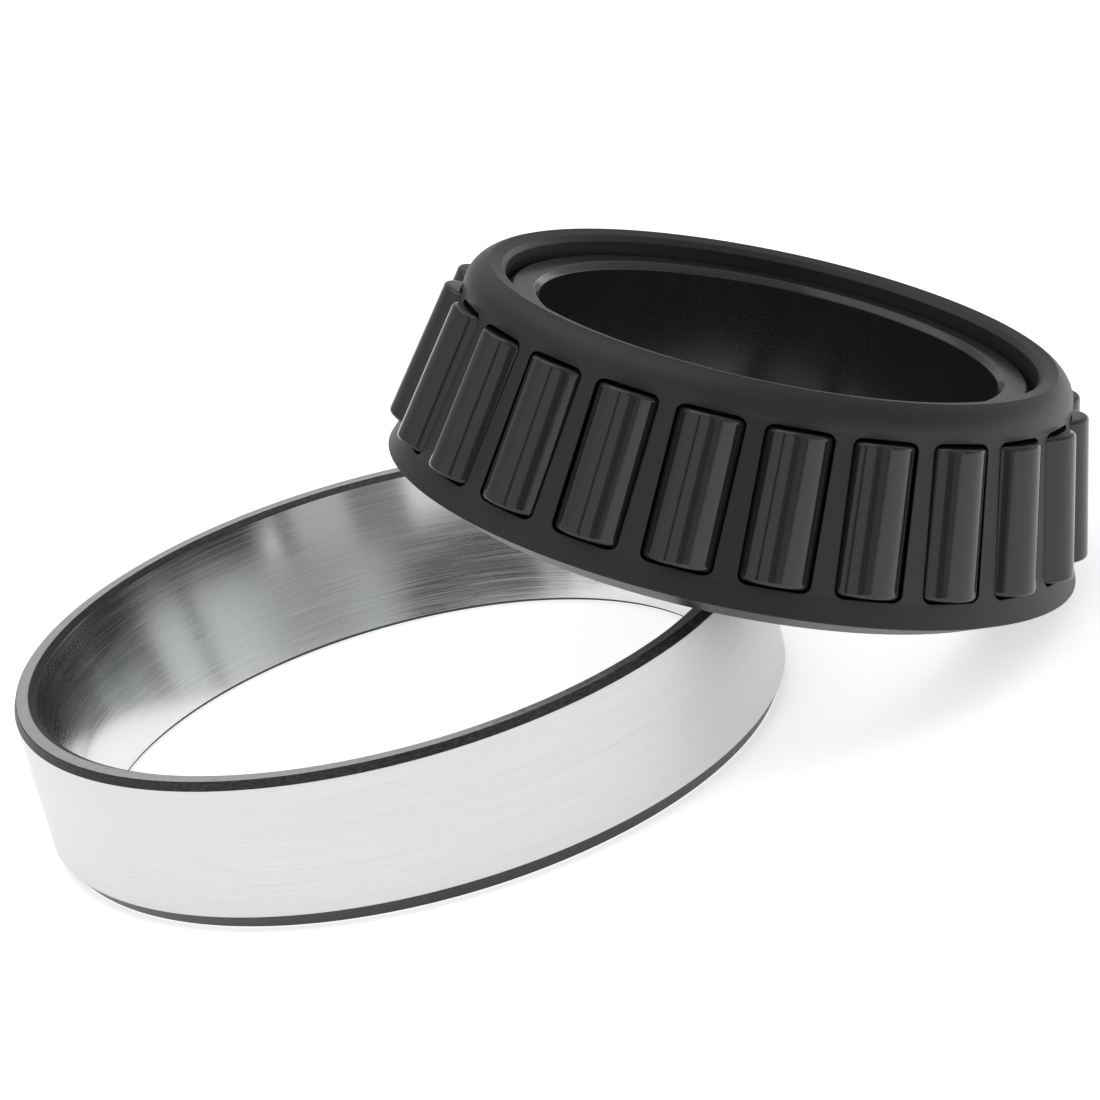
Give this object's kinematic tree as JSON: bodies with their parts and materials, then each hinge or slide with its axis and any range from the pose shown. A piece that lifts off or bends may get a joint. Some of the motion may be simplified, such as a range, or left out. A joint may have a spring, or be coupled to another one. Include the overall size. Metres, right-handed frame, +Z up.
{
  "type": "tapered roller bearing",
  "caption": "Separable single-row tapered roller bearing: bright cup lying flat, black cone assembly with cage and rollers leaning on its rim.",
  "frame": {"origin": "on the cup's axis, in the plane of the cup's back face, which is the ground", "axes": "+Z up along the cup's axis towards the wide end of its raceway; +X towards the side on which the cone assembly leans, so the cone's axis lies in the XZ plane"},
  "size_m": [0.12, 0.082, 0.0491],
  "materials": {
    "bright_steel": "ground outside, polished raceway",
    "black_ring_steel": "black oxide, polished",
    "black_roller_steel": "black oxide, polished",
    "black_polymer": "satin moulded"
  },
  "bodies": {
    "cup": {"cup": "bright_steel"},
    "inner_ring": {"inner_ring": "black_ring_steel"},
    "cage": {"cage": "black_polymer"},
    "roller_01": {"roller_01": "black_roller_steel"},
    "roller_02": {"roller_02": "black_roller_steel"},
    "roller_03": {"roller_03": "black_roller_steel"},
    "roller_04": {"roller_04": "black_roller_steel"},
    "roller_05": {"roller_05": "black_roller_steel"},
    "roller_06": {"roller_06": "black_roller_steel"},
    "roller_07": {"roller_07": "black_roller_steel"},
    "roller_08": {"roller_08": "black_roller_steel"},
    "roller_09": {"roller_09": "black_roller_steel"},
    "roller_10": {"roller_10": "black_roller_steel"},
    "roller_11": {"roller_11": "black_roller_steel"},
    "roller_12": {"roller_12": "black_roller_steel"},
    "roller_13": {"roller_13": "black_roller_steel"},
    "roller_14": {"roller_14": "black_roller_steel"},
    "roller_15": {"roller_15": "black_roller_steel"},
    "roller_16": {"roller_16": "black_roller_steel"},
    "roller_17": {"roller_17": "black_roller_steel"},
    "roller_18": {"roller_18": "black_roller_steel"},
    "roller_19": {"roller_19": "black_roller_steel"},
    "roller_20": {"roller_20": "black_roller_steel"},
    "roller_21": {"roller_21": "black_roller_steel"},
    "roller_22": {"roller_22": "black_roller_steel"},
    "roller_23": {"roller_23": "black_roller_steel"}
  },
  "joints": [
    {"name": "cone_lift", "type": "slide", "parent": "cup", "child": "inner_ring", "axis": [0, 0, 1], "range_m": [0, 0.06]},
    {"name": "cage_spin", "type": "hinge", "parent": "inner_ring", "child": "cage", "pos_m": [0.04319, 0, 0.024], "axis": [0.4226, 0, 0.9063], "continuous": true},
    {"name": "roller_01_spin", "type": "hinge", "parent": "cage", "child": "roller_01", "pos_m": [0.07367, -0.00245, 0.0113], "axis": [0.2387, 0.0144, 0.971], "continuous": true},
    {"name": "roller_02_spin", "type": "hinge", "parent": "cage", "child": "roller_02", "pos_m": [0.07316, 0.00654, 0.01154], "axis": [0.2417, -0.0385, 0.9696], "continuous": true},
    {"name": "roller_03_spin", "type": "hinge", "parent": "cage", "child": "roller_03", "pos_m": [0.07047, 0.01505, 0.0128], "axis": [0.2575, -0.0885, 0.9622], "continuous": true},
    {"name": "roller_04_spin", "type": "hinge", "parent": "cage", "child": "roller_04", "pos_m": [0.06581, 0.02244, 0.01497], "axis": [0.285, -0.132, 0.9494], "continuous": true},
    {"name": "roller_05_spin", "type": "hinge", "parent": "cage", "child": "roller_05", "pos_m": [0.0595, 0.02817, 0.01791], "axis": [0.322, -0.1657, 0.9321], "continuous": true},
    {"name": "roller_06_spin", "type": "hinge", "parent": "cage", "child": "roller_06", "pos_m": [0.05203, 0.0318, 0.0214], "axis": [0.366, -0.187, 0.9116], "continuous": true},
    {"name": "roller_07_spin", "type": "hinge", "parent": "cage", "child": "roller_07", "pos_m": [0.04395, 0.03308, 0.02517], "axis": [0.4135, -0.1946, 0.8895], "continuous": true},
    {"name": "roller_08_spin", "type": "hinge", "parent": "cage", "child": "roller_08", "pos_m": [0.03585, 0.03191, 0.02894], "axis": [0.4611, -0.1877, 0.8673], "continuous": true},
    {"name": "roller_09_spin", "type": "hinge", "parent": "cage", "child": "roller_09", "pos_m": [0.02834, 0.02837, 0.03244], "axis": [0.5053, -0.1668, 0.8467], "continuous": true},
    {"name": "roller_10_spin", "type": "hinge", "parent": "cage", "child": "roller_10", "pos_m": [0.02198, 0.02272, 0.03541], "axis": [0.5427, -0.1336, 0.8292], "continuous": true},
    {"name": "roller_11_spin", "type": "hinge", "parent": "cage", "child": "roller_11", "pos_m": [0.01723, 0.01539, 0.03762], "axis": [0.5706, -0.0905, 0.8162], "continuous": true},
    {"name": "roller_12_spin", "type": "hinge", "parent": "cage", "child": "roller_12", "pos_m": [0.01445, 0.00692, 0.03892], "axis": [0.587, -0.0407, 0.8086], "continuous": true},
    {"name": "roller_13_spin", "type": "hinge", "parent": "cage", "child": "roller_13", "pos_m": [0.01384, -0.00206, 0.0392], "axis": [0.5905, 0.0121, 0.8069], "continuous": true},
    {"name": "roller_14_spin", "type": "hinge", "parent": "cage", "child": "roller_14", "pos_m": [0.01546, -0.0109, 0.03845], "axis": [0.581, 0.0641, 0.8113], "continuous": true},
    {"name": "roller_15_spin", "type": "hinge", "parent": "cage", "child": "roller_15", "pos_m": [0.01917, -0.01892, 0.03672], "axis": [0.5592, 0.1113, 0.8215], "continuous": true},
    {"name": "roller_16_spin", "type": "hinge", "parent": "cage", "child": "roller_16", "pos_m": [0.02471, -0.02554, 0.03414], "axis": [0.5266, 0.1502, 0.8367], "continuous": true},
    {"name": "roller_17_spin", "type": "hinge", "parent": "cage", "child": "roller_17", "pos_m": [0.03166, -0.03027, 0.03089], "axis": [0.4857, 0.178, 0.8558], "continuous": true},
    {"name": "roller_18_spin", "type": "hinge", "parent": "cage", "child": "roller_18", "pos_m": [0.03951, -0.03275, 0.02723], "axis": [0.4396, 0.1926, 0.8773], "continuous": true},
    {"name": "roller_19_spin", "type": "hinge", "parent": "cage", "child": "roller_19", "pos_m": [0.04768, -0.0328, 0.02343], "axis": [0.3916, 0.1929, 0.8997], "continuous": true},
    {"name": "roller_20_spin", "type": "hinge", "parent": "cage", "child": "roller_20", "pos_m": [0.05556, -0.03042, 0.01975], "axis": [0.3452, 0.1789, 0.9213], "continuous": true},
    {"name": "roller_21_spin", "type": "hinge", "parent": "cage", "child": "roller_21", "pos_m": [0.06256, -0.02579, 0.01649], "axis": [0.3041, 0.1517, 0.9405], "continuous": true},
    {"name": "roller_22_spin", "type": "hinge", "parent": "cage", "child": "roller_22", "pos_m": [0.06817, -0.01924, 0.01387], "axis": [0.2711, 0.1131, 0.9559], "continuous": true},
    {"name": "roller_23_spin", "type": "hinge", "parent": "cage", "child": "roller_23", "pos_m": [0.07197, -0.01126, 0.0121], "axis": [0.2487, 0.0662, 0.9663], "continuous": true}
  ],
  "couplings": [
    {"joint": "roller_01_spin", "follows": "cage_spin", "ratio": 7.7274},
    {"joint": "roller_02_spin", "follows": "cage_spin", "ratio": 7.7274},
    {"joint": "roller_03_spin", "follows": "cage_spin", "ratio": 7.7274},
    {"joint": "roller_04_spin", "follows": "cage_spin", "ratio": 7.7274},
    {"joint": "roller_05_spin", "follows": "cage_spin", "ratio": 7.7274},
    {"joint": "roller_06_spin", "follows": "cage_spin", "ratio": 7.7274},
    {"joint": "roller_07_spin", "follows": "cage_spin", "ratio": 7.7274},
    {"joint": "roller_08_spin", "follows": "cage_spin", "ratio": 7.7274},
    {"joint": "roller_09_spin", "follows": "cage_spin", "ratio": 7.7274},
    {"joint": "roller_10_spin", "follows": "cage_spin", "ratio": 7.7274},
    {"joint": "roller_11_spin", "follows": "cage_spin", "ratio": 7.7274},
    {"joint": "roller_12_spin", "follows": "cage_spin", "ratio": 7.7274},
    {"joint": "roller_13_spin", "follows": "cage_spin", "ratio": 7.7274},
    {"joint": "roller_14_spin", "follows": "cage_spin", "ratio": 7.7274},
    {"joint": "roller_15_spin", "follows": "cage_spin", "ratio": 7.7274},
    {"joint": "roller_16_spin", "follows": "cage_spin", "ratio": 7.7274},
    {"joint": "roller_17_spin", "follows": "cage_spin", "ratio": 7.7274},
    {"joint": "roller_18_spin", "follows": "cage_spin", "ratio": 7.7274},
    {"joint": "roller_19_spin", "follows": "cage_spin", "ratio": 7.7274},
    {"joint": "roller_20_spin", "follows": "cage_spin", "ratio": 7.7274},
    {"joint": "roller_21_spin", "follows": "cage_spin", "ratio": 7.7274},
    {"joint": "roller_22_spin", "follows": "cage_spin", "ratio": 7.7274},
    {"joint": "roller_23_spin", "follows": "cage_spin", "ratio": 7.7274}
  ]
}
